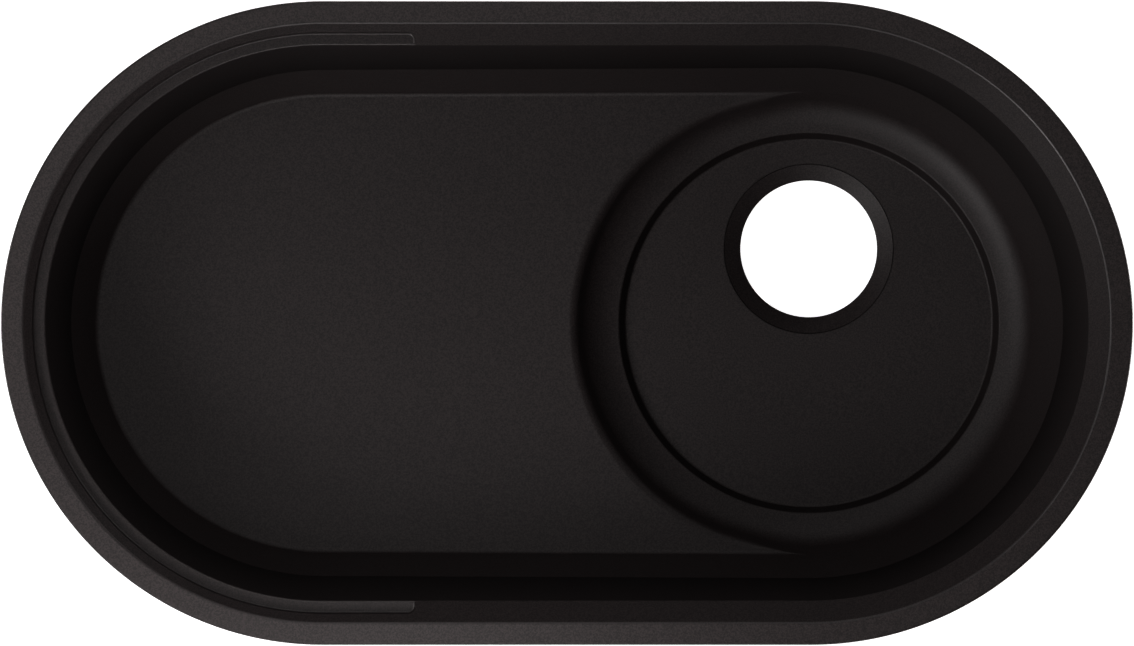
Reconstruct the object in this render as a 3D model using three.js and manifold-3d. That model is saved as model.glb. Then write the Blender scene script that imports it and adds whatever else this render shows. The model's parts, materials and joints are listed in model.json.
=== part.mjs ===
import * as THREE from 'three';
import { mergeVertices } from 'three/addons/utils/BufferGeometryUtils.js';
import Module from 'manifold-3d';

// Undermount kitchen sink, moulded in one piece in stone composite. A flat flange goes under the
// worktop. Inside it a sloped band leads to two straight walls of different angles, then to a raised
// tray and a deeper round bowl with an off-centre outlet. A narrow shelf runs round the tray's end.
// Steel plates under the flange turn on screws in brass inserts and swing out to hold the worktop.
// Millimetres, Z up. The origin is under the middle of the flange, level with the lowest face.
// A depth is measured down from the flange's top, and a radius from the line between the end centres.

// Plan and rim
const endSpacing = 326;            // between the centres of the two round ends
const flangeRadius = 215;          // outer edge of the flange round each end
const flangeWidth = 14.7;          // flat top of the flange
const flangeThickness = 12;
const flangeEdgeRounding = 1.5;
const bandRounding = 3;            // between the flat top and the sloped band
const bandRun = 14.8;              // the sloped band, across and down
const bandDrop = 14;
const upperWallRun = 15.7;
const upperWallDrop = 96;
const lowerWallRun = 15.6;
const lowerWallDrop = 47;
const trayFillet = 6;
const bowlEndGrowth = 1.3;         // the walls stand this much further apart at the bowl's end
const wallThickness = 9;

// Shelf round the tray's end
const shelfWidth = 8.3;
const shelfReach = 61.5;           // past the centre of the tray's end
const shelfCorner = 4.5;
const shelfBacking = 6.5;          // wall behind the shelf
const shelfFloorThickness = 7;

// Bowl
const bowlDrop = 26.5;             // bowl floor below the tray
const bowlFloorRadius = 130;       // where the curved foot of the wall ends
const mouthInset = 4.15;           // the bowl's edge is this much narrower than the tray
const mouthShift = 4.35;           // and its centre this much nearer the tray
const mouthRounding = 6.2;
const mouthSlope = THREE.MathUtils.degToRad(75);
const stepRadius = 126;            // middle of the step round the floor
const stepWidth = 4;
const stepDrop = 8;
const floorFall = 2;               // from the step to the outlet

// Outlet
const outletOffset = 50;           // from the middle of the bowl towards the back
const outletRadius = 46;
const outletSeatRadius = 57.5;     // outer edge of the seat for the waste flange
const outletLip = 0.8;
const outletSeatDrop = 6.6;        // fall of the conical seat
const outletLand = 6;              // thickness under the seat
const outletBossWidth = 6.5;       // flat ring outside the seat, on the underside

// Fixings
const fixingCount = 8;
const fixingInset = 8.2;           // screw centre from the flange's edge
const plateWidth = 12;
const plateThickness = 2.5;
const plateReach = 28;             // between the round ends' centres
const slotLength = 12;
const slotWidth = 5.8;
const slotMargin = 3.2;            // from the slot to the plate's end
const screwDiameter = 4.8;
const screwGrip = 7.5;             // length in the insert
const headAcross = 8;              // across the flats
const headHeight = 3.2;
const washerDiameter = 10;
const washerThickness = 1;
const insertDiameter = 8;
const insertLength = 9;
const insertGroove = 0.7;
const seatGap = 0.3;               // between pieces that touch

// Fineness
const endSteps = 32;               // round each end
const bowlLevels = 10;
const turnSteps = 12;

const overlap = 0.05;              // between two cuts that meet on one face
const overshoot = 2;               // a cut runs this far past the face that it opens

const bandTopRadius = flangeRadius - flangeWidth;
const bandFootRadius = bandTopRadius - bandRun;
const breakRadius = bandFootRadius - upperWallRun;
const footRadius = breakRadius - lowerWallRun;
const breakDepth = bandDrop + upperWallDrop;
const trayDepth = breakDepth + lowerWallDrop;
const wallSlope = Math.atan2(lowerWallDrop, lowerWallRun);
const seatDepth = trayDepth + bowlDrop + stepDrop + floorFall + outletLip + outletSeatDrop;
const height = seatDepth + outletLand;
const bowlX = endSpacing / 2;
const shelfX = shelfReach - endSpacing / 2;
const fixingRadius = flangeRadius - fixingInset;
const haunchRadius = fixingRadius - plateWidth / 2 - seatGap;

const wasm = await Module();
wasm.setup();

const stone = new THREE.MeshStandardMaterial({ color: 0x2b2828, roughness: 0.55, metalness: 0 });
const steel = new THREE.MeshStandardMaterial({ color: 0xb4b6b8, roughness: 0.35, metalness: 1 });
const brass = new THREE.MeshStandardMaterial({ color: 0xb58d46, roughness: 0.4, metalness: 1 });

function toSolid(geometry) {
  const bare = geometry.clone();
  bare.deleteAttribute('normal');
  bare.deleteAttribute('uv');
  const merged = mergeVertices(bare, 1e-4);
  const mesh = new wasm.Mesh({
    numProp: 3,
    vertProperties: new Float32Array(merged.attributes.position.array),
    triVerts: new Uint32Array(merged.index.array),
  });
  return new wasm.Manifold(mesh);
}

function toGeometry(solid) {
  const mesh = solid.getMesh();
  const geometry = new THREE.BufferGeometry();
  geometry.setAttribute('position', new THREE.BufferAttribute(mesh.vertProperties, 3));
  geometry.setIndex(new THREE.BufferAttribute(mesh.triVerts, 1));
  geometry.computeVertexNormals();
  return geometry;
}

// A solid through rings of equal length, listed from the top down and each counter-clockwise.
function loft(rings) {
  const count = rings[0].length;
  const points = rings.flat();
  const index = [];
  for (let level = 0; level < rings.length - 1; level += 1) {
    for (let i = 0; i < count; i += 1) {
      const next = (i + 1) % count;
      const upper = level * count;
      const lower = upper + count;
      index.push(upper + i, lower + i, lower + next);
      index.push(upper + i, lower + next, upper + next);
    }
  }
  for (const [ring, facing] of [[rings[0], 1], [rings.at(-1), -1]]) {
    const start = rings.indexOf(ring) * count;
    const middle = new THREE.Vector3();
    ring.forEach((point) => middle.addScaledVector(point, 1 / count));
    points.push(middle);
    for (let i = 0; i < count; i += 1) {
      const pair = [start + i, start + (i + 1) % count];
      if (facing < 0) pair.reverse();
      index.push(points.length - 1, ...pair);
    }
  }
  const geometry = new THREE.BufferGeometry().setFromPoints(points);
  geometry.setIndex(index);
  return toSolid(geometry);
}

function corner(radius, depth, rounding = 0, growth = 0) {
  return { at: new THREE.Vector3(radius, depth, growth), rounding };
}

// The profile through the corners, with a curve of three points at each rounded one.
function roundProfile(corners) {
  return corners.flatMap(({ at, rounding }, i) => {
    if (rounding === 0) return [at];
    const before = corners[i - 1].at;
    const after = corners[i + 1].at;
    const from = at.clone().lerp(before, rounding / 2 / at.distanceTo(before));
    const to = at.clone().lerp(after, rounding / 2 / at.distanceTo(after));
    return new THREE.QuadraticBezierCurve3(from, at, to).getPoints(3);
  });
}

// The profile moved outwards by the thickness, with its corners still sharp.
function offsetProfile(path, thickness) {
  return path.map((point, i) => {
    const before = path[Math.max(i - 1, 0)];
    const after = path[Math.min(i + 1, path.length - 1)];
    const arriving = outwardNormal(before, point) ?? outwardNormal(point, after);
    const leaving = outwardNormal(point, after) ?? arriving;
    const mitre = arriving.clone().add(leaving);
    mitre.multiplyScalar(thickness / (1 + arriving.dot(leaving)));
    return mitre.add(point);
  });
}

function outwardNormal(from, to) {
  const run = to.clone().sub(from).setZ(0);
  if (run.length() === 0) return null;
  return new THREE.Vector3(run.y, -run.x, 0).normalize();
}

// A straight-sided oval round both end centres. The bowl's end grows about a centre that moves
// back, so its tip stays where it is and the sides widen.
function ovalRing({ x: radius, y: depth, z: growth }) {
  const ring = [];
  const ends = [[bowlX - growth, radius + growth, -Math.PI / 2], [-bowlX, radius, Math.PI / 2]];
  for (const [centre, endRadius, start] of ends) {
    for (let i = 0; i <= endSteps; i += 1) {
      const angle = start + Math.PI * i / endSteps;
      const x = centre + endRadius * Math.cos(angle);
      ring.push(new THREE.Vector3(x, endRadius * Math.sin(angle), height - depth));
    }
  }
  return ring;
}

// The tray's end with its straight sides, cut off square with rounded corners.
function shelfRing(radius, reach, rounding, depth) {
  const plan = new THREE.Shape();
  plan.absarc(-bowlX, 0, radius, Math.PI / 2, Math.PI * 3 / 2);
  plan.absarc(reach - rounding, rounding - radius, rounding, -Math.PI / 2, 0);
  plan.absarc(reach - rounding, radius - rounding, rounding, 0, Math.PI / 2);
  return plan.getPoints(endSteps / 2).map(({ x, y }) => new THREE.Vector3(x, y, height - depth));
}

function circleRing(x, y, radius, depth) {
  return Array.from({ length: 2 * endSteps }, (_, i) => {
    const angle = Math.PI * i / endSteps;
    const across = x + radius * Math.cos(angle);
    return new THREE.Vector3(across, y + radius * Math.sin(angle), height - depth);
  });
}

// One level of the bowl. At the right its wall carries on the tray's lower wall. Towards the tray
// it turns into a narrower mouth with a rounded edge. A skin gives the outside of the same wall.
function bowlRing(drop, skin) {
  const growth = bowlEndGrowth * (1 - THREE.MathUtils.clamp(drop / bowlDrop, 0, 1));
  return Array.from({ length: 2 * endSteps }, (_, i) => {
    const angle = Math.PI * i / endSteps;
    const radius = growth + bowlRadius(angle, drop, skin);
    const x = bowlX - growth + radius * Math.cos(angle);
    return new THREE.Vector3(x, radius * Math.sin(angle), height - trayDepth - drop);
  });
}

function bowlRadius(angle, drop, skin) {
  const mouth = THREE.MathUtils.smoothstep(-Math.cos(angle), 0, 0.3);
  const mouthRadius = footRadius - mouthInset - mouthShift * Math.cos(angle);
  const topRadius = THREE.MathUtils.lerp(footRadius, mouthRadius, mouth);
  const slope = THREE.MathUtils.lerp(wallSlope, mouthSlope, mouth);
  const rounding = mouthRounding * mouth;
  const footDrop = bowlDrop / Math.tan(slope);
  const cove = (topRadius - footDrop - bowlFloorRadius) / Math.tan(slope / 2);
  const coveStart = bowlDrop - cove + (cove + skin) * Math.cos(slope);
  if (drop > coveStart) {
    const rise = drop - bowlDrop + cove;
    return bowlFloorRadius + Math.sqrt(Math.max((cove + skin) ** 2 - rise ** 2, 0));
  }
  const wall = topRadius - drop / Math.tan(slope) + skin / Math.sin(slope);
  if (skin > 0 || drop > rounding * (1 - Math.cos(slope))) return wall;
  const edge = topRadius + rounding * Math.tan(slope / 2);
  if (drop < 0) return edge - drop / Math.tan(slope);
  return edge - Math.sqrt(drop * (2 * rounding - drop));
}

// Levels that lie close together where the wall curves, at its edge and at its foot.
function curvedLevels(from, to, count) {
  return Array.from({ length: count + 1 }, (_, i) => {
    const share = (1 - Math.cos(Math.PI * i / count)) / 2;
    return THREE.MathUtils.lerp(from, to, share);
  });
}

function bowlSpace() {
  const top = bowlRing(-lowerWallDrop, 0);
  const middle = new THREE.Vector3(bowlX - bowlEndGrowth, 0, 0);
  for (const point of top) {
    const outwards = point.clone().sub(middle).setZ(0).normalize();
    point.addScaledVector(outwards, overlap);
  }
  const rings = [top];
  for (const drop of curvedLevels(0, bowlDrop, bowlLevels)) rings.push(bowlRing(drop, 0));
  const floorDepth = trayDepth + bowlDrop;
  for (const share of [0, 0.25, 0.5, 0.75, 1]) {
    const radius = stepRadius + stepWidth * (0.5 - share);
    const drop = stepDrop * THREE.MathUtils.smoothstep(share, 0, 1);
    rings.push(circleRing(bowlX, 0, radius, floorDepth + drop));
  }
  const lipDepth = floorDepth + stepDrop + floorFall;
  rings.push(circleRing(bowlX, outletOffset, outletSeatRadius, lipDepth));
  rings.push(circleRing(bowlX, outletOffset, outletSeatRadius - outletLip / 2, lipDepth + outletLip));
  rings.push(circleRing(bowlX, outletOffset, outletRadius, seatDepth));
  rings.push(circleRing(bowlX, outletOffset, outletRadius, height + overshoot));
  return loft(rings);
}

function bowlOutside() {
  const skin = wallThickness;
  const rings = [bowlRing(-lowerWallDrop, skin), bowlRing(0, skin)];
  const levels = curvedLevels(0, 2 * (bowlDrop + skin), 2 * bowlLevels);
  for (const drop of levels.slice(bowlLevels + 1, -1)) rings.push(bowlRing(drop - bowlDrop - skin, skin));
  return rings;
}

// The flange, the two walls, the shelf's backing, the bowl, its thicker floor and the outlet's boss.
function outerBody(rimCorners) {
  const flangeEdge = roundProfile([
    corner(flangeRadius - 2 * flangeEdgeRounding, 0),
    corner(flangeRadius, 0, flangeEdgeRounding),
    corner(flangeRadius, flangeThickness, flangeEdgeRounding),
    corner(flangeRadius - 2 * flangeEdgeRounding, flangeThickness),
  ]);
  const middle = corner(0, trayDepth, 0, bowlEndGrowth);
  const wallPath = [...rimCorners.slice(1), middle].map(({ at }) => at);
  const [wallTop, wallBreak, wallFoot, trayUnder] = offsetProfile(wallPath, wallThickness);
  const haunchDepth = flangeThickness + haunchRadius - wallTop.x;
  const walls = roundProfile([
    corner(haunchRadius, flangeThickness / 2),
    corner(haunchRadius, flangeThickness),
    corner(wallTop.x, haunchDepth),
    { at: wallBreak, rounding: 0 },
    { at: wallFoot, rounding: trayFillet + wallThickness },
    { at: trayUnder, rounding: 0 },
  ]).slice(0, -1);
  const shelfFoot = bandDrop + shelfFloorThickness;
  const backingRadius = bandFootRadius + shelfWidth + shelfBacking;
  const backingReach = shelfX + shelfBacking;
  const backingCorner = shelfCorner + shelfBacking;
  const backing = [flangeThickness / 2, shelfFoot].map((depth) =>
    shelfRing(backingRadius, backingReach, backingCorner, depth));
  const taper = backingRadius - wallTop.x;
  const taperFoot = shelfFoot + taper;
  backing.push(shelfRing(backingRadius - taper, backingReach - taper, backingCorner / 2, taperFoot));

  const floorDepth = trayDepth + bowlDrop + stepDrop + floorFall + wallThickness;
  const padRadius = stepRadius + wallThickness;
  const pad = [
    circleRing(bowlX, 0, padRadius, trayDepth + bowlDrop),
    circleRing(bowlX, 0, padRadius, floorDepth - flangeEdgeRounding),
    circleRing(bowlX, 0, padRadius - flangeEdgeRounding, floorDepth),
  ];
  const bossRadius = outletSeatRadius + outletBossWidth;
  const boss = [
    circleRing(bowlX, outletOffset, bossRadius, floorDepth - wallThickness / 2),
    circleRing(bowlX, outletOffset, bossRadius, height - flangeEdgeRounding),
    circleRing(bowlX, outletOffset, bossRadius - flangeEdgeRounding, height),
  ];
  const shells = [walls.map(ovalRing), backing, bowlOutside(), pad, boss];
  return shells.reduce((body, rings) => body.add(loft(rings)), loft(flangeEdge.map(ovalRing)));
}

function traySpace(rimCorners) {
  const path = roundProfile([
    corner(flangeRadius, 0),
    ...rimCorners,
    corner(0, trayDepth, 0, bowlEndGrowth),
  ]).slice(1, -1);
  const mouth = path[0].clone().setY(-overshoot);
  return loft([mouth, ...path].map(ovalRing));
}

function shelfSpace() {
  const radius = bandFootRadius + shelfWidth;
  const depths = [-overshoot, bandDrop];
  return loft(depths.map((depth) => shelfRing(radius, shelfX, shelfCorner, depth)));
}

// Places on the flange's middle line, evenly spaced round it from the middle of the back.
function fixingPlaces() {
  const straight = endSpacing;
  const arc = Math.PI * fixingRadius;
  const spacing = 2 * (straight + arc) / fixingCount;
  return Array.from({ length: fixingCount }, (_, i) => {
    const along = (i + 0.5) * spacing + straight / 2;
    const side = Math.floor(along / (straight + arc)) % 2;
    const past = along % (straight + arc);
    const angle = Math.PI * (0.5 + side) + Math.max(past - straight, 0) / fixingRadius;
    const sign = side === 0 ? 1 : -1;
    const x = sign * (bowlX - Math.min(past, straight)) + fixingRadius * Math.cos(angle);
    return { x, y: fixingRadius * Math.sin(angle), angle };
  });
}

// A turned piece about Z. Its profile closes on itself or runs between two points on the axis.
function turned(profile) {
  const points = profile.map(([radius, z]) => new THREE.Vector2(radius, z));
  return new THREE.LatheGeometry(points, turnSteps).rotateX(Math.PI / 2);
}

function named(name, geometry, material) {
  const mesh = new THREE.Mesh(geometry, material);
  mesh.name = name;
  return mesh;
}

function sinkBowl(places) {
  const rimCorners = [
    corner(bandTopRadius, 0, bandRounding),
    corner(bandFootRadius, bandDrop),
    corner(breakRadius, breakDepth, 0, bowlEndGrowth),
    corner(footRadius, trayDepth, trayFillet, bowlEndGrowth),
  ];
  let body = outerBody(rimCorners)
    .subtract(traySpace(rimCorners))
    .subtract(shelfSpace())
    .subtract(bowlSpace());
  const pocketRadius = insertDiameter / 2 + seatGap;
  const pocketTop = flangeThickness - insertLength - seatGap;
  for (const { x, y } of places) {
    const rings = [pocketTop, flangeThickness + overshoot].map((depth) =>
      Array.from({ length: turnSteps }, (_, i) => {
        const angle = 2 * Math.PI * i / turnSteps;
        const across = x + pocketRadius * Math.cos(angle);
        return new THREE.Vector3(across, y + pocketRadius * Math.sin(angle), height - depth);
      }));
    body = body.subtract(loft(rings));
  }
  return named('sink_bowl', toGeometry(body), stone);
}

// The insert's outside has a groove that locks it in the moulding.
function insertGeometry() {
  const outer = insertDiameter / 2;
  const bore = screwDiameter / 2 + seatGap;
  const third = insertLength / 3;
  return turned([
    [bore, 0],
    [outer, 0],
    [outer, third],
    [outer - insertGroove, third + insertGroove],
    [outer - insertGroove, 2 * third - insertGroove],
    [outer, 2 * third],
    [outer, insertLength],
    [bore, insertLength],
    [bore, 0],
  ]);
}

function plateGeometry() {
  const half = plateWidth / 2;
  const plan = new THREE.Shape();
  plan.absarc(0, 0, half, Math.PI, 2 * Math.PI);
  plan.absarc(0, plateReach, half, 0, Math.PI);
  const pivotHole = new THREE.Path();
  pivotHole.absarc(0, 0, screwDiameter / 2 + seatGap, 0, 2 * Math.PI);
  const slot = new THREE.Path();
  const slotEnd = plateReach + half - slotMargin - slotWidth / 2;
  slot.absarc(0, slotEnd - slotLength + slotWidth, slotWidth / 2, Math.PI, 2 * Math.PI);
  slot.absarc(0, slotEnd, slotWidth / 2, 0, Math.PI);
  plan.holes.push(pivotHole, slot);
  const cut = { depth: plateThickness, bevelEnabled: false, curveSegments: turnSteps / 2 };
  return new THREE.ExtrudeGeometry(plan, cut);
}

function washerGeometry() {
  const bore = screwDiameter / 2 + seatGap;
  return turned([
    [bore, 0],
    [washerDiameter / 2, 0],
    [washerDiameter / 2, washerThickness],
    [bore, washerThickness],
    [bore, 0],
  ]);
}

// Head below, shank above. The head's underside is at zero.
function screwGeometry(shankLength) {
  const corners = headAcross / 2 / Math.cos(Math.PI / 6);
  const head = new THREE.CylinderGeometry(corners, corners, headHeight, 6).rotateX(Math.PI / 2);
  head.translate(0, 0, -headHeight / 2);
  const shank = turned([
    [0, -headHeight / 2],
    [screwDiameter / 2, -headHeight / 2],
    [screwDiameter / 2, shankLength - screwDiameter / 8],
    [screwDiameter * 3 / 8, shankLength],
    [0, shankLength],
  ]);
  return toGeometry(toSolid(head).add(toSolid(shank)));
}

// One fixing at the flange's underside: the insert above it, then plate, washer and screw below.
// The plate is turned in line with the flange.
function fixing({ x, y, angle }, number) {
  const set = new THREE.Group();
  set.position.set(x, y, height - flangeThickness);
  set.rotation.z = angle;
  const plateZ = -seatGap - plateThickness;
  const washerZ = plateZ - seatGap - washerThickness;
  const screwZ = washerZ - seatGap;
  const stack = [
    ['insert', insertGeometry(), brass, 0],
    ['plate', plateGeometry(), steel, plateZ],
    ['washer', washerGeometry(), steel, washerZ],
    ['screw', screwGeometry(screwGrip - screwZ), steel, screwZ],
  ];
  for (const [piece, geometry, material, z] of stack) {
    const mesh = named(`fixing_${piece}_${number}`, geometry, material);
    mesh.position.z = z;
    set.add(mesh);
  }
  return set;
}

const sink = new THREE.Group();
const places = fixingPlaces();
sink.add(sinkBowl(places));
places.forEach((place, i) => sink.add(fixing(place, i + 1)));

export default sink;
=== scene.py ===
import json
import math

import bpy
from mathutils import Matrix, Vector

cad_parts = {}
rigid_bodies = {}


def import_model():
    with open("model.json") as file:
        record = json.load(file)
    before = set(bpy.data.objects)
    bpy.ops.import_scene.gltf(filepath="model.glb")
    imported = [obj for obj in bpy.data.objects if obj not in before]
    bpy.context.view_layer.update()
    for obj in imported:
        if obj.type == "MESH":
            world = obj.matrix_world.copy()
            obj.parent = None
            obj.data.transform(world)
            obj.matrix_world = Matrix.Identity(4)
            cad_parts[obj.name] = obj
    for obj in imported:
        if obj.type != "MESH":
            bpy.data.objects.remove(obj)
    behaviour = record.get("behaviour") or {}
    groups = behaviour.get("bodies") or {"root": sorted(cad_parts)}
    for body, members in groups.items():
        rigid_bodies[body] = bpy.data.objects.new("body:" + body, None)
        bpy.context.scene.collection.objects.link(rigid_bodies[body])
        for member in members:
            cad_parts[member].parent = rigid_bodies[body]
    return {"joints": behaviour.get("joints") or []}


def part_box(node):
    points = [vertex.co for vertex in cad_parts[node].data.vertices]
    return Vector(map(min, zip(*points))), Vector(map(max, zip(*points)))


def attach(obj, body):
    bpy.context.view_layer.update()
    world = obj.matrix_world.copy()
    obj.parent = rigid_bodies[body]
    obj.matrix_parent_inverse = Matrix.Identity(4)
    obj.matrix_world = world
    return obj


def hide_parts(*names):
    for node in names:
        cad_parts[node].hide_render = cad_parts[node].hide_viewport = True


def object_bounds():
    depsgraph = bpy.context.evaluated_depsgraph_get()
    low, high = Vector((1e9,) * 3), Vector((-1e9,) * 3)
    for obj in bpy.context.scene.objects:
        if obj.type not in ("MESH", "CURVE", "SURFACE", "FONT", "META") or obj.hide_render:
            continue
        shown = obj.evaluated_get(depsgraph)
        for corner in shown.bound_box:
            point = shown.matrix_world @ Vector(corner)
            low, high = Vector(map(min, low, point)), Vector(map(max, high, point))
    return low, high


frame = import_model()
cadLow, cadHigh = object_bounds()

mm = 0.001
hair = mm / 100  # points closer than this are merged
nearby = mm / 10  # places this close together count as one in a selection
overshoot = 2 * mm  # a cutter reaches this far past the face that it opens

# The sink's length, width and height come from the frame, less a hair on each side, and its section
# repeats the real sizes. A radius is measured from the line between the end centres, and a depth
# from the flange's top.
sink = {
    "bandTop": 200.3 * mm,
    "bandFoot": 185.5 * mm,
    "bandDepth": 14 * mm,
    "breakRadius": 169.8 * mm,
    "breakDepth": 110 * mm,
    "footRadius": 154.2 * mm,
    "trayDepth": 157 * mm,
    "flangeThickness": 12 * mm,
    "wall": 9 * mm,
    "flangeRounding": 1.5 * mm,
    "bandRounding": 2.2 * mm,
    "trayFillet": 6 * mm,
    "bowlEndGrowth": 1.3 * mm,
    "haunchGap": 0.3 * mm,
    "endSteps": 128,
    "insideSteps": 24,
    "outsideSteps": 16,
    "footSteps": 3,
    "creaseAngle": math.radians(8),
}
sink["radius"] = (cadHigh.y - cadLow.y) / 2 - hair
sink["height"] = cadHigh.z
sink["endX"] = cadHigh.x - hair - sink["radius"]

shelf = {
    "width": 8.3 * mm,
    "end": -101.5 * mm,
    "corner": 4.5 * mm,
    "backing": 6.5 * mm,
    "thickness": 7 * mm,
    "lean": 0.055,
    "fillet": 1.5 * mm,
    "edge": 1.4 * mm,
    "inset": 3 * mm,  # how far its blocks reach in past the band's foot
    "blendDrop": 6 * mm,
    "blendInset": 0.3 * mm,
    "cornerSteps": 12,
    "filletSteps": 6,
    "edgeSteps": 9,
}

bowl = {
    "drop": 26.5 * mm,
    "floorRadius": 130 * mm,
    "coveFoot": 120 * mm,
    "coveStretch": 1.85,
    "mouthInset": 4.15 * mm,
    "mouthShift": 4.35 * mm,
    "mouthRounding": 6.2 * mm,
    "mouthSlope": math.radians(75),
    "mouthBlend": 0.3,
    "stepRadius": 126 * mm,
    "edgeDrop": 25.72 * mm,
    "edgeFall": 0.12 * mm,
    "stepWidth": 6.8 * mm,
    "stepDrop": 8.78 * mm,
    "stepRounding": 2 * mm,
    "floorFall": 2 * mm,
    "levels": 34,
    "roundSteps": 6,
    "overlap": 0.05 * mm,
}

outlet = {
    "y": 50 * mm,
    "radius": 46 * mm,
    "seatRadius": 57.5 * mm,
    "lip": 0.8 * mm,
    "groove": 0.8 * mm,
    "grooveDepth": 0.24 * mm,
    "seatDrop": 6.6 * mm,
    "land": 6 * mm,
    "bossWidth": 6.5 * mm,
    "edge": 0.8 * mm,
    "edgeSteps": 4,
}
outlet["seatDepth"] = sink["height"] - outlet["land"]
outlet["lipDepth"] = outlet["seatDepth"] - outlet["seatDrop"] - outlet["lip"]


def pickOnly(piece):
    bpy.ops.object.select_all(action="DESELECT")
    piece.select_set(True)
    bpy.context.view_layer.objects.active = piece


def applyPlace():
    bpy.ops.object.transform_apply(location=True, rotation=True, scale=True)


def editMesh(piece, mode="VERT"):
    pickOnly(piece)
    bpy.ops.object.mode_set(mode="EDIT")
    bpy.ops.mesh.select_mode(type=mode)
    bpy.ops.mesh.select_all(action="SELECT")


def leaveEdit():
    bpy.ops.object.mode_set(mode="OBJECT")


def selectWhere(piece, test, kind="vertices"):
    # Selection is set on the mesh in object mode, then edit mode picks it up.
    bpy.ops.mesh.select_all(action="DESELECT")
    leaveEdit()
    for item in getattr(piece.data, kind):
        item.select = test(item)
    bpy.ops.object.mode_set(mode="EDIT")


def newPrimitive(name, add, **settings):
    bpy.ops.object.select_all(action="DESELECT")
    add(**settings)
    piece = bpy.context.object
    piece.name = name
    return piece


def drawPath(name, points):
    # One vertex is extruded from point to point, and stays in edit mode with the path selected.
    piece = newPrimitive(name, bpy.ops.mesh.primitive_plane_add, size=mm)
    editMesh(piece)
    bpy.ops.mesh.merge(type="CENTER")
    bpy.ops.transform.translate(value=points[0])
    for start, end in zip(points, points[1:]):
        step = Vector(end) - Vector(start)
        bpy.ops.mesh.extrude_region_move(TRANSFORM_OT_translate={"value": step})
    bpy.ops.mesh.select_all(action="SELECT")
    return piece


def cleanMesh():
    bpy.ops.mesh.select_all(action="SELECT")
    bpy.ops.mesh.remove_doubles(threshold=hair)
    bpy.ops.mesh.normals_make_consistent(inside=False)


def combine(target, other, operation):
    # Joins or cuts with another piece, which is used up.
    tool = target.modifiers.new(operation.lower(), "BOOLEAN")
    tool.operation = operation
    tool.solver = "MANIFOLD"
    tool.object = other
    pickOnly(target)
    bpy.ops.object.modifier_apply(modifier=tool.name)
    bpy.data.objects.remove(other)


def roundCorners(corners, stepsPerTurn):
    # A profile of (radius, depth) points. A corner's third value, where it has one, is the length
    # that its curve takes, half on either side. A right angle gets the given number of steps.
    points = []
    for i, corner in enumerate(corners):
        at = Vector(corner[:2])
        cut = corner[2] if len(corner) > 2 else 0
        if cut == 0:
            points.append(at)
            continue
        before = Vector(corners[i - 1][:2])
        after = Vector(corners[i + 1][:2])
        start = at + (before - at).normalized() * cut / 2
        end = at + (after - at).normalized() * cut / 2
        turn = (at - before).angle(after - at)
        steps = max(3, round(stepsPerTurn * turn / (math.pi / 2)))
        for k in range(steps + 1):
            share = k / steps
            points.append(start.lerp(at, share).lerp(at.lerp(end, share), share))
    return points


def sweepOval(name, profile, endX, top, steps):
    # Draws the profile across the front of the right end, then spins it round that end, carries
    # it along the back, spins it round the left end and carries it back along the front.
    piece = drawPath(name, [(endX, -p.x, top - p.y) for p in profile])
    for centre in (endX, -endX):
        bpy.ops.mesh.spin(steps=steps, angle=-math.pi, center=(centre, 0, 0), axis=(0, 0, 1))
        bpy.ops.mesh.extrude_region_move(TRANSFORM_OT_translate={"value": (-2 * centre, 0, 0)})
    cleanMesh()
    leaveEdit()
    return piece


def sinkCorners():
    # The inside of the section from the flange down to the tray.
    return [
        (sink["radius"] - sink["flangeRounding"], 0),
        (sink["bandTop"], 0, sink["bandRounding"]),
        (sink["bandFoot"], sink["bandDepth"]),
        (sink["breakRadius"], sink["breakDepth"]),
        (sink["footRadius"], sink["trayDepth"], sink["trayFillet"]),
        (0, sink["trayDepth"]),
    ]


def shiftedOut(corners, thickness):
    # The same corners moved out by the wall's thickness, along the mitre of their two sides.
    moved = []
    for i, corner in enumerate(corners):
        at = Vector(corner[:2])
        sides = []
        if i > 0:
            sides.append(at - Vector(corners[i - 1][:2]))
        if i < len(corners) - 1:
            sides.append(Vector(corners[i + 1][:2]) - at)
        normals = [Vector((side.y, -side.x)).normalized() for side in sides]
        mitre = sum(normals, Vector((0, 0)))
        moved.append(at + mitre * thickness / (mitre.dot(normals[0])))
    return moved


def curvedShares(count):
    # Shares from 0 to 1 that lie close together at both ends, where the wall curves.
    return [(1 - math.cos(math.pi * i / count)) / 2 for i in range(count + 1)]


def smoothShare(value, low, high):
    share = min(max((value - low) / (high - low), 0), 1)
    return share * share * (3 - 2 * share)


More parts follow.
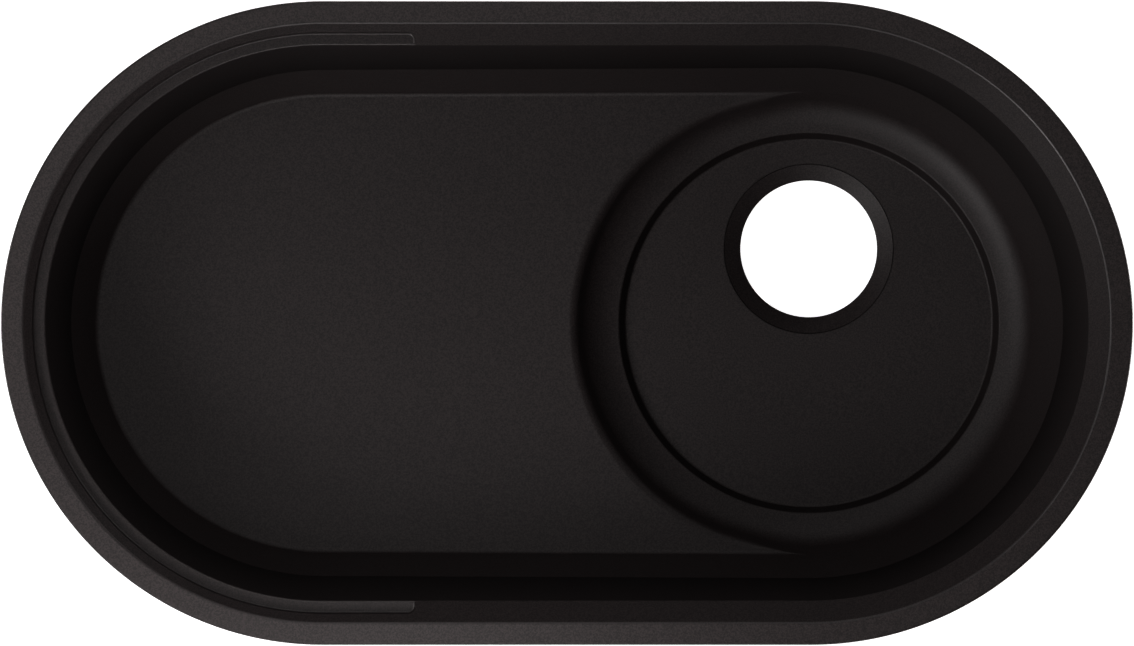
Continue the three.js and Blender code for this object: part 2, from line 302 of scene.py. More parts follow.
def bowlRadius(angle, drop, skin):
    # The wall's distance from the bowl's axis at one level below the tray. On the tray's side the
    # wall turns into a narrower mouth with a rounded edge.
    mouth = smoothShare(-math.cos(angle), 0, bowl["mouthBlend"])
    wallSlope = math.atan2(sink["trayDepth"] - sink["breakDepth"],
                           sink["breakRadius"] - sink["footRadius"])
    mouthRadius = sink["footRadius"] - bowl["mouthInset"] - bowl["mouthShift"] * math.cos(angle)
    top = sink["footRadius"] + (mouthRadius - sink["footRadius"]) * mouth
    slope = wallSlope + (bowl["mouthSlope"] - wallSlope) * mouth
    rounding = bowl["mouthRounding"] * mouth
    # The cove at the wall's foot is round on the outside, and flatter towards the floor inside.
    foot, stretch = (bowl["floorRadius"], 1) if skin else (bowl["coveFoot"], bowl["coveStretch"])
    steep = math.atan(math.tan(slope) * stretch)
    cove = (top - bowl["drop"] / math.tan(slope) - foot) / stretch / math.tan(steep / 2)
    if drop > bowl["drop"] - cove + (cove + skin) * math.cos(steep):
        rise = drop - bowl["drop"] + cove
        return foot + stretch * math.sqrt(max((cove + skin) ** 2 - rise ** 2, 0))
    if skin > 0 or drop > rounding * (1 - math.cos(slope)):
        return top - drop / math.tan(slope) + skin / math.sin(slope)
    edge = top + rounding * math.tan(slope / 2)
    if drop < 0:
        return edge - drop / math.tan(slope)
    return edge - math.sqrt(drop * (2 * rounding - drop))


def bowlRing(drop, skin=0, overlap=0):
    # The upper levels are widened about a centre that moves back, like the walls above them.
    fade = 1 - min(max(drop / bowl["drop"], 0), 1)
    growth = sink["bowlEndGrowth"] * fade
    widen = 1 + growth / sink["footRadius"]
    ring = []
    for i in range(2 * sink["endSteps"]):
        angle = math.pi * i / sink["endSteps"]
        radius = widen * bowlRadius(angle, drop, skin) + overlap
        ring.append((sink["endX"] - growth + radius * math.cos(angle), radius * math.sin(angle),
                     sink["height"] - sink["trayDepth"] - drop))
    return ring


def circleRing(y, radius, depth):
    steps = 2 * sink["endSteps"]
    turns = [2 * math.pi * i / steps for i in range(steps)]
    return [(sink["endX"] + radius * math.cos(a), y + radius * math.sin(a), sink["height"] - depth)
            for a in turns]


def loftRings(name, rings):
    # A round block gets one loop for each ring from the top down, and each vertex then goes to
    # its place on its ring.
    count = len(rings[0])
    piece = newPrimitive(name, bpy.ops.mesh.primitive_circle_add, vertices=count, radius=1,
                         fill_type="NGON")
    editMesh(piece, "FACE")
    for level in range(len(rings) - 1):
        bpy.ops.mesh.extrude_region_move(TRANSFORM_OT_translate={"value": (0, 0, -1)})
    cleanMesh()
    leaveEdit()
    for vertex in piece.data.vertices:
        turn = math.atan2(vertex.co.y, vertex.co.x) / (2 * math.pi)
        vertex.co = rings[round(-vertex.co.z)][round(turn * count) % count]
    return piece


def stepProfile():
    # The floor's step: a steep straight wall between a rounded edge and an equal fillet.
    half, rounding, drop = bowl["stepWidth"] / 2, bowl["stepRounding"], bowl["stepDrop"]
    apart = Vector((2 * half, drop - 2 * rounding))
    slope = math.atan2(apart.y, apart.x) + math.asin(2 * rounding / apart.length)
    steps = bowl["roundSteps"]
    turns = [slope * k / steps for k in range(steps + 1)]
    upper = [(half - rounding * math.sin(a), rounding * (1 - math.cos(a))) for a in turns]
    lower = [(-run, drop - fall) for run, fall in reversed(upper)]
    return [(bowl["stepRadius"] + run, fall) for run, fall in upper + lower]


def bowlSpace():
    # The wall and its cove, which ends a little above the step's edge.
    wallDrop = sink["trayDepth"] - sink["breakDepth"]
    lowest = bowl["edgeDrop"] - bowl["edgeFall"]
    rings = [bowlRing(-wallDrop, overlap=bowl["overlap"])]
    rings += [bowlRing(share * lowest, overlap=bowl["overlap"] * (1 - share))
              for share in curvedShares(bowl["levels"])]
    floorDepth = sink["trayDepth"] + bowl["edgeDrop"]
    for radius, drop in stepProfile():
        rings.append(circleRing(0, radius, floorDepth + drop))
    # The outlet's lip, the groove round its seat, the cone and the hole's rounded edge.
    y, seat, lip, groove = outlet["y"], outlet["seatRadius"], outlet["lipDepth"], outlet["groove"]
    coneTop = lip + outlet["lip"]
    grooveFoot = coneTop + outlet["grooveDepth"]
    rings.append(circleRing(y, seat, lip))
    rings.append(circleRing(y, seat - groove / 4, grooveFoot))
    rings.append(circleRing(y, seat - 3 * groove / 4, grooveFoot))
    rings.append(circleRing(y, seat - groove, coneTop))
    edge, steps = outlet["edge"], outlet["edgeSteps"]
    slope = math.atan2(outlet["seatDrop"], seat - outlet["radius"])
    for k in range(steps + 1):
        turn = slope + (math.pi / 2 - slope) * k / steps
        radius = outlet["radius"] + edge * (1 - math.sin(turn))
        rings.append(circleRing(y, radius, outlet["seatDepth"] - edge * math.cos(turn)))
    rings.append(circleRing(y, outlet["radius"], sink["height"] + overshoot))
    return loftRings("bowlSpace", rings)


def bowlOutside():
    wallDrop = sink["trayDepth"] - sink["breakDepth"]
    skin = sink["wall"]
    # Below the tray the levels lie closer together towards the foot, where the cove curves most.
    rings = [bowlRing(-wallDrop, skin), bowlRing(0, skin)]
    for share in curvedShares(bowl["levels"])[bowl["levels"] // 2 + 1:-1]:
        rings.append(bowlRing((2 * share - 1) * (bowl["drop"] + skin), skin))
    return loftRings("bowlOutside", rings)


def widenBowlEnd(piece):
    # Below the wall's break the bowl's end is widened, and its centre moves back by as much.
    level = sink["height"] - sink["breakDepth"] + nearby
    tangent = sink["endX"] - nearby
    editMesh(piece)
    selectWhere(piece, lambda v: v.co.x > tangent and v.co.z < level)
    growth = sink["bowlEndGrowth"]
    widen = 1 + growth / sink["footRadius"]
    bpy.ops.transform.resize(value=(widen, widen, 1), center_override=(sink["endX"], 0, 0))
    bpy.ops.transform.translate(value=(-growth, 0, 0))
    leaveEdit()


def traySpace():
    inside = roundCorners(sinkCorners(), sink["insideSteps"])[1:]
    lid = [Vector((0, -overshoot)), Vector((inside[0].x, -overshoot))]
    piece = sweepOval("traySpace", lid + inside, sink["endX"], sink["height"], sink["endSteps"])
    widenBowlEnd(piece)
    return piece


def outsideBody():
    rounding = sink["flangeRounding"]
    flange = sink["flangeThickness"]
    wallTop, wallBreak, wallFoot = shiftedOut(sinkCorners()[2:], sink["wall"])[:3]
    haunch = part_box("fixing_plate_1")[0].y - sink["haunchGap"]
    corners = [
        (0, 0),
        (sink["radius"], 0, 2 * rounding),
        (sink["radius"], flange, 2 * rounding),
        (haunch, flange, rounding),
        (wallTop.x, flange + haunch - wallTop.x, 2 * rounding),
        (wallBreak.x, wallBreak.y),
        (wallFoot.x, wallFoot.y, 2 * sink["wall"]),
        (0, wallFoot.y),
    ]
    outside = roundCorners(corners, sink["outsideSteps"])
    piece = sweepOval("sinkBowl", outside, sink["endX"], sink["height"], sink["endSteps"])
    widenBowlEnd(piece)
    return piece


def shelfBlock(name, profile, end, corner):
    # A block over the tray's end. Its profile of (radius, depth) points is carried along one
    # straight side, spun round the end and carried back, then its two upright corners are rounded.
    endX, top = sink["endX"], sink["height"]
    piece = drawPath(name, [(end, r, top - depth) for r, depth in profile + profile[:1]])
    cleanMesh()
    bpy.ops.mesh.edge_face_add()
    bpy.ops.mesh.extrude_region_move(TRANSFORM_OT_translate={"value": (-endX - end, 0, 0)})
    bpy.ops.mesh.spin(steps=sink["endSteps"], angle=-math.pi, center=(-endX, 0, 0), axis=(0, 0, 1))
    bpy.ops.mesh.extrude_region_move(TRANSFORM_OT_translate={"value": (end + endX, 0, 0)})
    cleanMesh()
    bpy.ops.mesh.select_mode(type="EDGE")
    points = piece.data.vertices
    outer = max(r for r, depth in profile) - 2 * mm  # the wall behind the shelf leans by less

    def upright(edge):
        a, b = (points[i].co for i in edge.vertices)
        atCorner = min(a.x, b.x) > end - nearby and min(abs(a.y), abs(b.y)) > outer
        return atCorner and abs(a.z - b.z) > mm

    selectWhere(piece, upright, "edges")
    bpy.ops.mesh.bevel(offset=corner, segments=shelf["cornerSteps"])
    leaveEdit()
    return piece


def shelfBacking():
    inner = sink["bandFoot"] - shelf["inset"]
    outer = sink["bandFoot"] + shelf["width"] + shelf["backing"]
    foot = sink["bandDepth"] + shelf["thickness"]
    taper = outer - shiftedOut(sinkCorners()[2:], sink["wall"])[0].x
    under = sink["flangeThickness"] / 2
    profile = [(inner, under), (outer, under), (outer, foot), (outer - taper, foot + taper),
               (inner, foot + taper)]
    return shelfBlock("shelfBacking", profile, shelf["end"] + shelf["backing"],
                      shelf["corner"] + shelf["backing"])


def shelfSpace():
    # The wall behind the shelf leans out a little and meets the shelf in a small fillet.
    inner = sink["bandFoot"] - shelf["inset"]
    outer = sink["bandFoot"] + shelf["width"]
    foot, head = sink["bandDepth"], -overshoot
    lean = shelf["lean"] * (foot - head)
    # The inner edge is rounded over onto the wall below, a little inside it where they part.
    below = shelf["blendDrop"]
    run = (sink["bandFoot"] - sink["breakRadius"]) * below / (sink["breakDepth"] - foot)
    edge = [(outer, foot), (sink["bandFoot"], foot, 2 * shelf["edge"]),
            (sink["bandFoot"] - run - shelf["blendInset"], foot + below)]
    profile = [(inner, head), (outer + lean, head)] + roundCorners(edge, shelf["edgeSteps"])
    profile.append((inner, foot + below))
    piece = shelfBlock("shelfSpace", profile, shelf["end"], shelf["corner"])
    points = piece.data.vertices
    floor = sink["height"] - foot

    def footEdge(edge):
        a, b = (points[i].co for i in edge.vertices)
        if max(abs(a.z - floor), abs(b.z - floor)) > hair:
            return False
        atEnd = min(a.x, b.x) > shelf["end"] - shelf["corner"] - mm and a.x > shelf["end"] - mm
        return atEnd or min(shelfRadius(a), shelfRadius(b)) > sink["bandFoot"] + shelf["width"] / 2

    editMesh(piece, "EDGE")
    selectWhere(piece, footEdge, "edges")
    bpy.ops.mesh.bevel(offset=shelf["fillet"], segments=shelf["filletSteps"])
    leaveEdit()
    return piece


def shelfRadius(at):
    return math.hypot(at.x + sink["endX"], at.y) if at.x < -sink["endX"] else abs(at.y)


def levelBlock(name, x, y, radius, top, bottom, rounding):
    # An upright round block whose lower edge is rounded.
    piece = newPrimitive(name, bpy.ops.mesh.primitive_cylinder_add, vertices=2 * sink["endSteps"],
                         radius=radius, depth=top - bottom, location=(x, y, (top + bottom) / 2))
    applyPlace()
    editMesh(piece, "EDGE")
    points = piece.data.vertices
    selectWhere(piece, lambda e: all(points[i].co.z < bottom + nearby for i in e.vertices), "edges")
    bpy.ops.mesh.bevel(offset=rounding, segments=sink["footSteps"])
    leaveEdit()
    return piece


def buildSink():
    body = outsideBody()
    combine(body, shelfBacking(), "UNION")
    combine(body, bowlOutside(), "UNION")
    under = sink["height"] - sink["trayDepth"] - bowl["edgeDrop"]
    padFoot = under - bowl["stepDrop"] - bowl["floorFall"] - sink["wall"]
    rounding = sink["flangeRounding"]
    pad = levelBlock("floorPad", sink["endX"], 0, bowl["stepRadius"] + sink["wall"], under, padFoot,
                     rounding)
    combine(body, pad, "UNION")
    boss = levelBlock("outletBoss", sink["endX"], outlet["y"],
                      outlet["seatRadius"] + outlet["bossWidth"], padFoot + sink["wall"] / 2, 0,
                      rounding)
    combine(body, boss, "UNION")
    combine(body, traySpace(), "DIFFERENCE")
    combine(body, shelfSpace(), "DIFFERENCE")
    combine(body, bowlSpace(), "DIFFERENCE")
    return body


def finishMesh(piece, creaseAngle):
    # Smooth shading up to the crease angle, with the large faces setting the normals.
    pickOnly(piece)
    bpy.ops.object.shade_smooth_by_angle(angle=creaseAngle)
    weighted = piece.modifiers.new("weighted", "WEIGHTED_NORMAL")
    weighted.keep_sharp = True
    bpy.ops.object.modifier_apply(modifier=weighted.name)


# The fixings are drawn with the screw on the Z axis and the plate pointing along X, each piece at
# its real height. Widths and heights come from the frame.
fixing = {
    "edge": 0.35 * mm,
    "slotWidth": 5.8 * mm,
    "slotLength": 12 * mm,
    "slotMargin": 3.2 * mm,
    "bore": 2.7 * mm,
    "insertGroove": 0.7 * mm,
    "insertChamfer": 0.3 * mm,
    "pocketGap": 0.05 * mm,
    "shankRadius": 2.4 * mm,
    "threadPitch": 0.8 * mm,
    "threadDepth": 0.4 * mm,
    "headFlat": 3.7 * mm,
    "headChamfer": math.radians(30),
    "turnSteps": 48,
    "edgeSteps": 4,
    "threadSteps": 32,
    "creaseAngle": math.radians(30),
}
insertLow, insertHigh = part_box("fixing_insert_1")
plateLow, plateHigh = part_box("fixing_plate_1")
washerLow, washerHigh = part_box("fixing_washer_1")
screwLow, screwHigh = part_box("fixing_screw_1")


def turnedPiece(name, profile):
    # A closed profile of (radius, height) points spun once round the Z axis.
    piece = drawPath(name, [(r, 0, z) for r, z in profile + profile[:1]])
    bpy.ops.mesh.remove_doubles(threshold=hair)
    bpy.ops.mesh.spin(steps=fixing["turnSteps"], angle=2 * math.pi, center=(0, 0, 0),
                      axis=(0, 0, 1))
    cleanMesh()
    leaveEdit()
    return piece


def fixingInsert():
    outer = (insertHigh.x - insertLow.x) / 2
    low, high = insertLow.z, insertHigh.z
    third, groove, cut = (high - low) / 3, fixing["insertGroove"], fixing["insertChamfer"]
    return turnedPiece("fixingInsert", [
        (fixing["bore"], low + cut),
        (fixing["bore"] + cut, low),
        (outer - cut, low),
        (outer, low + cut),
        (outer, low + third),
        (outer - groove, low + third + groove),
        (outer - groove, low + 2 * third - groove),
        (outer, low + 2 * third),
        (outer, high - cut),
        (outer - cut, high),
        (fixing["bore"], high),
    ])


def fixingPlate():
    radius = (plateHigh.y - plateLow.y) / 2
    reach = plateHigh.x - plateLow.x - 2 * radius
    thick = plateHigh.z - plateLow.z
    edge, steps = 2 * fixing["edge"], fixing["turnSteps"] // 2
    outline = [(0, 0), (radius, 0, edge), (radius, thick, edge), (0, thick)]
    outline = roundCorners(outline, fixing["edgeSteps"])
    plate = sweepOval("fixingPlate", outline, reach / 2, plateHigh.z, steps)
    # The slot near the plate's free end has rounded edges above and below.
    half = fixing["slotWidth"] / 2
    wide, below = half + edge / 2, thick + overshoot
    side = [(0, -overshoot), (wide, -overshoot), (wide, 0), (half, 0, edge), (half, thick, edge),
            (wide, thick), (wide, below), (0, below)]
    side = roundCorners(side, fixing["edgeSteps"])
    slot = sweepOval("slot", side, fixing["slotLength"] / 2 - half, plateHigh.z, steps)
    slot.location.x = reach / 2 + radius - fixing["slotMargin"] - fixing["slotLength"] / 2
    applyPlace()
    combine(plate, slot, "DIFFERENCE")
    bore, low, high = fixing["bore"], plateLow.z - overshoot, plateHigh.z + overshoot
    hole = turnedPiece("pivotHole", [(0, low), (bore, low), (bore, high), (0, high)])
    hole.location.x = -reach / 2
    applyPlace()
    combine(plate, hole, "DIFFERENCE")
    plate.location.x = reach / 2
    applyPlace()
    return plate


def fixingWasher():
    outer = (washerHigh.x - washerLow.x) / 2
    low, high, cut = washerLow.z, washerHigh.z, fixing["edge"] / 2
    return turnedPiece("fixingWasher", [
        (fixing["bore"], low),
        (outer - cut, low),
        (outer, low + cut),
        (outer, high - cut),
        (outer - cut, high),
        (fixing["bore"], high),
    ])


def fixingScrew():
    # The head clears the washer by as much as the washer clears the plate.
    corner = (screwHigh.x - screwLow.x) / 2
    headTop = washerLow.z - (plateLow.z - washerHigh.z)
    shank, depth, pitch = fixing["shankRadius"], fixing["threadDepth"], fixing["threadPitch"]
    low, tip = screwLow.z, screwHigh.z
    screw = newPrimitive("fixingScrew", bpy.ops.mesh.primitive_cylinder_add, vertices=6,
                         radius=corner, depth=headTop - low,
                         location=(0, 0, (low + headTop) / 2), rotation=(0, 0, math.pi / 6))
    applyPlace()
    # The thread starts two turns inside the head. A tooth's heights are shares of the pitch.
    start = headTop - 2 * pitch
    tooth = [(shank - depth, 0), (shank, 0.4), (shank, 0.55), (shank - depth, 0.95),
             (shank - depth, 1)]
    thread = drawPath("thread", [(r, 0, start + share * pitch) for r, share in tooth])
    leaveEdit()
    winding = thread.modifiers.new("winding", "SCREW")
    winding.screw_offset = pitch
    winding.iterations = math.ceil((tip - start) / pitch) + 1
    winding.steps = winding.render_steps = fixing["threadSteps"]
    bpy.ops.object.modifier_apply(modifier=winding.name)
    editMesh(thread)
    cleanMesh()
    bpy.ops.mesh.fill_holes(sides=0)
    bpy.ops.mesh.normals_make_consistent(inside=False)
    leaveEdit()
    combine(screw, thread, "UNION")
    # The head's corners are chamfered and the tip is pointed. Elsewhere the cutter stands clear.
    wide, neck = corner + nearby, shank + nearby
    rise = (wide - fixing["headFlat"]) * math.tan(fixing["headChamfer"])
    envelope = turnedPiece("screwEnvelope", [
        (0, low),
        (fixing["headFlat"], low),
        (wide, low + rise),
        (wide, headTop + nearby),
        (neck, headTop + nearby),
        (neck, tip - depth - nearby),
        (shank - depth, tip),
        (0, tip),
    ])
    combine(screw, envelope, "INTERSECT")
    return screw


def fixingTurn(at):
    # The direction of the plate at rest, along the flange.
    fromEnd = at.x - min(max(at.x, -sink["endX"]), sink["endX"])
    return math.atan2(at.y, fromEnd) + math.pi / 2


def placeCopy(pattern, name, at, turn):
    piece = pattern.copy()
    piece.data = pattern.data.copy()
    piece.name = name
    bpy.context.collection.objects.link(piece)
    pickOnly(piece)
    piece.location = (at.x, at.y, 0)
    piece.rotation_euler.z = turn
    applyPlace()
    return piece


def newMaterial(name, colour, roughness, metallic=0.0):
    material = bpy.data.materials.new(name)
    material.use_nodes = True
    tree = material.node_tree
    shader = tree.nodes["Principled BSDF"]
    shader.inputs["Base Color"].default_value = (*colour, 1)
    shader.inputs["Roughness"].default_value = roughness
    shader.inputs["Metallic"].default_value = metallic
    return material, tree, shader


def grain(tree, scale, detail, coarseness=0.5, stretch=None):
    # Noise fixed to the piece, finer as the scale grows.
    place = tree.nodes.new("ShaderNodeTexCoord")
    noise = tree.nodes.new("ShaderNodeTexNoise")
    noise.inputs["Scale"].default_value = scale
    noise.inputs["Detail"].default_value = detail
    noise.inputs["Roughness"].default_value = coarseness
    source = place.outputs["Object"]
    if stretch:
        mapping = tree.nodes.new("ShaderNodeMapping")
        mapping.inputs["Scale"].default_value = stretch
        tree.links.new(source, mapping.inputs["Vector"])
        source = mapping.outputs["Vector"]
    tree.links.new(source, noise.inputs["Vector"])
    return noise


def colourFrom(tree, shader, noise, dark, light, limits):
    # The colour runs from dark to light between the two limits of the noise.
    ramp = tree.nodes.new("ShaderNodeValToRGB")
    for end, limit, colour in zip(ramp.color_ramp.elements, limits, (dark, light)):
        end.position = limit
        end.color = (*colour, 1)
    tree.links.new(noise.outputs["Fac"], ramp.inputs["Fac"])
    tree.links.new(ramp.outputs["Color"], shader.inputs["Base Color"])


def roughnessFrom(tree, shader, noise, low, high, limits):
    spread = tree.nodes.new("ShaderNodeMapRange")
    spread.inputs["From Min"].default_value = limits[0]
    spread.inputs["From Max"].default_value = limits[1]
    spread.inputs["To Min"].default_value = low
    spread.inputs["To Max"].default_value = high
    tree.links.new(noise.outputs["Fac"], spread.inputs["Value"])
    tree.links.new(spread.outputs["Result"], shader.inputs["Roughness"])


def bumpFrom(tree, shader, noise, distance):
    bump = tree.nodes.new("ShaderNodeBump")
    bump.inputs["Distance"].default_value = distance
    tree.links.new(noise.outputs["Fac"], bump.inputs["Height"])
    tree.links.new(bump.outputs["Normal"], shader.inputs["Normal"])


finish = {
    "stone": (0.0384, 0.0293, 0.0293),
    "stoneDark": (0.0102, 0.0078, 0.0078),
    "stoneRoughness": 0.5,
    "stoneGloss": 0.5,
    "grainScale": 950,
    "grainDetail": 6,
    "grainCoarseness": 0.65,
    "grainLimits": (0.42, 0.58),
    "grainHeight": 0.03 * mm,
    # Painted light on the flange's top.
    "flangeShare": 1.4,
    # Painted shade on the steep walls, deepening towards the wall's break.
    "steepShare": 0.77,
    "breakShare": 0.37,
    # Painted shade on the floor's step and the outlet's groove.
    "stepShare": 0.6,
    "edgeRoughness": 0.36,
    "edgeGloss": 0.9,
    "underside": (0.037, 0.030, 0.030),
    "undersideDark": (0.029, 0.0237, 0.0237),
    "undersideLimits": (0.35, 0.65),
    "undersideRoughness": 0.7,
}


def stoneMaterial(name, share=1.0, roughness=finish["stoneRoughness"], gloss=finish["stoneGloss"]):
    # The moulded side. The share lightens or darkens the colour and the gloss alike.
    colour = [value * share for value in finish["stone"]]
    dark = [value * share for value in finish["stoneDark"]]
    material, tree, shader = newMaterial(name, colour, roughness)
    shader.inputs["Specular IOR Level"].default_value = gloss * share
    fine = grain(tree, finish["grainScale"], finish["grainDetail"], finish["grainCoarseness"])
    colourFrom(tree, shader, fine, dark, colour, finish["grainLimits"])
    bumpFrom(tree, shader, fine, finish["grainHeight"])
    return material


def paintedShadeWallMaterial():
    # Painted shade: the upper wall's colour and gloss are lowered, and lowered further on the way
    # down to the wall's break.
    share = finish["steepShare"]
    material = stoneMaterial("steepStone", share)
    tree = material.node_tree
    shader = tree.nodes["Principled BSDF"]
    place = tree.nodes.new("ShaderNodeTexCoord")
    split = tree.nodes.new("ShaderNodeSeparateXYZ")
    fade = tree.nodes.new("ShaderNodeMapRange")
    fade.inputs["From Min"].default_value = sink["height"] - sink["breakDepth"]
    fade.inputs["From Max"].default_value = sink["height"] - sink["bandDepth"]
    fade.inputs["To Min"].default_value = finish["breakShare"] / share
    fade.inputs["To Max"].default_value = 1
    tree.links.new(place.outputs["Object"], split.inputs["Vector"])
    tree.links.new(split.outputs["Z"], fade.inputs["Value"])
    tint = tree.nodes.new("ShaderNodeVectorMath")
    tint.operation = "SCALE"
    tree.links.new(shader.inputs["Base Color"].links[0].from_socket, tint.inputs["Vector"])
    tree.links.new(fade.outputs["Result"], tint.inputs["Scale"])
    tree.links.new(tint.outputs["Vector"], shader.inputs["Base Color"])
    gloss = tree.nodes.new("ShaderNodeMath")
    gloss.operation = "MULTIPLY"
    gloss.inputs[1].default_value = shader.inputs["Specular IOR Level"].default_value
    tree.links.new(fade.outputs["Result"], gloss.inputs[0])
    tree.links.new(gloss.outputs["Value"], shader.inputs["Specular IOR Level"])
    return material


def undersideMaterial():
    # The side that faced the closed half of the mould is rougher and a little greyer.
    material, tree, shader = newMaterial("stoneUnderside", finish["underside"],
                                         finish["undersideRoughness"])
    coarse = grain(tree, finish["grainScale"] / 2, finish["grainDetail"], finish["grainCoarseness"])
    colourFrom(tree, shader, coarse, finish["undersideDark"], finish["underside"],
               finish["undersideLimits"])
    bumpFrom(tree, shader, coarse, 2 * finish["grainHeight"])
    return material


# Every metal has the same fine marks, drawn out along the plate, which is brushed.
marks = {
    "scale": 400,
    "detail": 4.0,
    "brushStretch": (0.08, 1, 1),
    "colourLimits": (0.35, 0.65),
    "roughnessLimits": (0.3, 0.7),
    "roughnessSpread": 0.07,
    "height": 0.008 * mm,
}
metals = {
    "insert": {"name": "turnedBrass", "slot": "brass", "roughness": 0.36,
               "dark": (0.47, 0.31, 0.11), "light": (0.60, 0.42, 0.17)},
    "plate": {"name": "stampedSteel", "slot": "steel", "roughness": 0.34, "brushed": True,
              "dark": (0.46, 0.47, 0.48), "light": (0.60, 0.61, 0.62)},
    "washer": {"name": "washerSteel", "slot": "washer_steel", "roughness": 0.28,
               "dark": (0.52, 0.53, 0.54), "light": (0.66, 0.67, 0.68)},
    "screw": {"name": "screwSteel", "slot": "screw_steel", "roughness": 0.32,
              "dark": (0.42, 0.43, 0.44), "light": (0.55, 0.56, 0.57)},
}


def metalMaterial(metal):
    roughness, spread = metal["roughness"], marks["roughnessSpread"]
    stretch = marks["brushStretch"] if metal.get("brushed") else None
    material, tree, shader = newMaterial(metal["name"], metal["light"], roughness, metallic=1.0)
    fine = grain(tree, marks["scale"], marks["detail"], stretch=stretch)
    colourFrom(tree, shader, fine, metal["dark"], metal["light"], marks["colourLimits"])
    roughnessFrom(tree, shader, fine, roughness - spread, roughness + spread,
                  marks["roughnessLimits"])
    bumpFrom(tree, shader, fine, marks["height"])
    return material


def buildFixings():
    patterns = {"insert": fixingInsert(), "plate": fixingPlate(), "washer": fixingWasher(),
                "screw": fixingScrew()}
    for kind, pattern in patterns.items():
        finishMesh(pattern, fixing["creaseAngle"])
        pattern.data.materials.clear()
        pattern.data.materials.append(metalMaterial(metals[kind]))
        for number, joint in enumerate(frame["joints"], 1):
            at = Vector(joint["pos_m"])
            piece = placeCopy(pattern, f"{pattern.name}{number}", at, fixingTurn(at))
            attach(piece, joint["child"] if kind == "plate" else joint["parent"])
            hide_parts(f"fixing_{kind}_{number}")
        bpy.data.objects.remove(pattern)


def cutPockets(body):
    # The inserts are moulded in, so the stone closes round each.
    gap = fixing["pocketGap"]
    radius = (insertHigh.x - insertLow.x) / 2 + gap
    top, foot = insertHigh.z + gap, insertLow.z - overshoot
    for joint in frame["joints"]:
        x, y, _ = joint["pos_m"]
        pocket = newPrimitive("pocket", bpy.ops.mesh.primitive_cylinder_add,
                              vertices=fixing["turnSteps"], radius=radius, depth=top - foot,
                              location=(x, y, (top + foot) / 2))
        applyPlace()
        combine(body, pocket, "DIFFERENCE")


# The stone's faces are sorted by their place and by the way they look. One that looks straight up
# counts 1 for up, and one that looks straight away from the sink's middle counts 1 for outward.
sorting = {
    "levelUp": 0.99,
    "stepWallUp": 0.62,
    "steepUp": 0.25,
    "steepestUp": 0.1,
    "undersideUp": -0.3,
    "flatUndersideUp": -0.9,
    "outsideOutward": 0.3,
    "wallOutward": -0.5,
    "bandSpread": 0.04,
    "bandEdgeDepth": 0.9 * mm,
}


def stoneKind(face):
    # The name of the material that one face of the stone gets.
    at, up = face.center, face.normal.z
    depth = sink["height"] - at.z
    along = min(max(at.x, -sink["endX"]), sink["endX"])
    outward = Vector((at.x - along, at.y, 0)).normalized().dot(face.normal)
    # The flange's level top gets painted light.
    if depth < hair and up > sorting["levelUp"]:
        return "groundFlange"
    fromSeat = math.hypot(at.x - sink["endX"], at.y - outlet["y"]) - outlet["seatRadius"]
    belowFlange = depth > sink["flangeThickness"] + nearby
    outside = up < sorting["undersideUp"] or belowFlange and outward > sorting["outsideOutward"]
    inOutlet = fromSeat < 0 and up > sorting["flatUndersideUp"]
    if outside and not inOutlet:
        return "stoneUnderside"
    fromStep = math.hypot(at.x - sink["endX"], at.y) - bowl["stepRadius"]
    stepWall = abs(fromStep) < bowl["stepWidth"] / 2 and 0 < up < sorting["stepWallUp"]
    groove = -outlet["groove"] < fromSeat < 0 and up > 0
    # The step's wall and the outlet's groove get painted shade.
    if depth > sink["trayDepth"] + bowl["edgeDrop"] and (stepWall or groove):
        return "stepStone"
    # The steep upper wall and the shelf's wall get painted shade.
    upperWall = sorting["steepestUp"] < up < sorting["steepUp"] and depth < sink["breakDepth"]
    shelfWall = up < sorting["steepUp"] and mm < depth < sink["bandDepth"] + nearby
    if outward < sorting["wallOutward"] and (upperWall or shelfWall):
        return "steepStone"
    # The band looks up by the same amount everywhere, which tells it from the shelf's edge.
    bandRun = sink["bandTop"] - sink["bandFoot"]
    bandUp = bandRun / math.hypot(bandRun, sink["bandDepth"])
    bandEdge = depth < sorting["bandEdgeDepth"]
    nearShelf = abs(depth - sink["bandDepth"]) < shelf["fillet"] and at.x < shelf["end"]
    shelfEdge = nearShelf and abs(up - bandUp) > sorting["bandSpread"]
    tilted = outward < 0 and sorting["steepUp"] < up < sorting["levelUp"]
    return "edgeStone" if tilted and (bandEdge or shelfEdge) else "mouldedStone"


def paintSink(body):
    # The flange's top carries painted light, its colour and gloss raised. The steep upper wall
    # and the shelf's walls, the floor's step and the outlet's groove carry painted shade, their
    # colour and gloss lowered. Narrow rounded edges are rubbed a little smoother.
    materials = [
        stoneMaterial("mouldedStone"),
        undersideMaterial(),
        stoneMaterial("groundFlange", finish["flangeShare"]),
        paintedShadeWallMaterial(),
        stoneMaterial("stepStone", finish["stepShare"]),
        stoneMaterial("edgeStone", 1, finish["edgeRoughness"], finish["edgeGloss"]),
    ]
    body.data.materials.clear()
    for material in materials:
        body.data.materials.append(material)
    names = [material.name for material in materials]
    for face in body.data.polygons:
        face.material_index = names.index(stoneKind(face))


def dressSink():
    body = buildSink()
    cutPockets(body)
    finishMesh(body, sink["creaseAngle"])
    paintSink(body)
    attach(body, "sink")
    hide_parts("sink_bowl")


room = {
    "floorSize": 12.0,
    "floorGap": 0.2 * mm,
    "floorColour": (0.86, 0.86, 0.86),
    "floorRoughness": 0.9,
    "floorGlow": 1.05,
    "worldColour": (1.0, 1.0, 1.0),
    "worldStrength": 0.04,
    "backgroundStrength": 0.8,
}


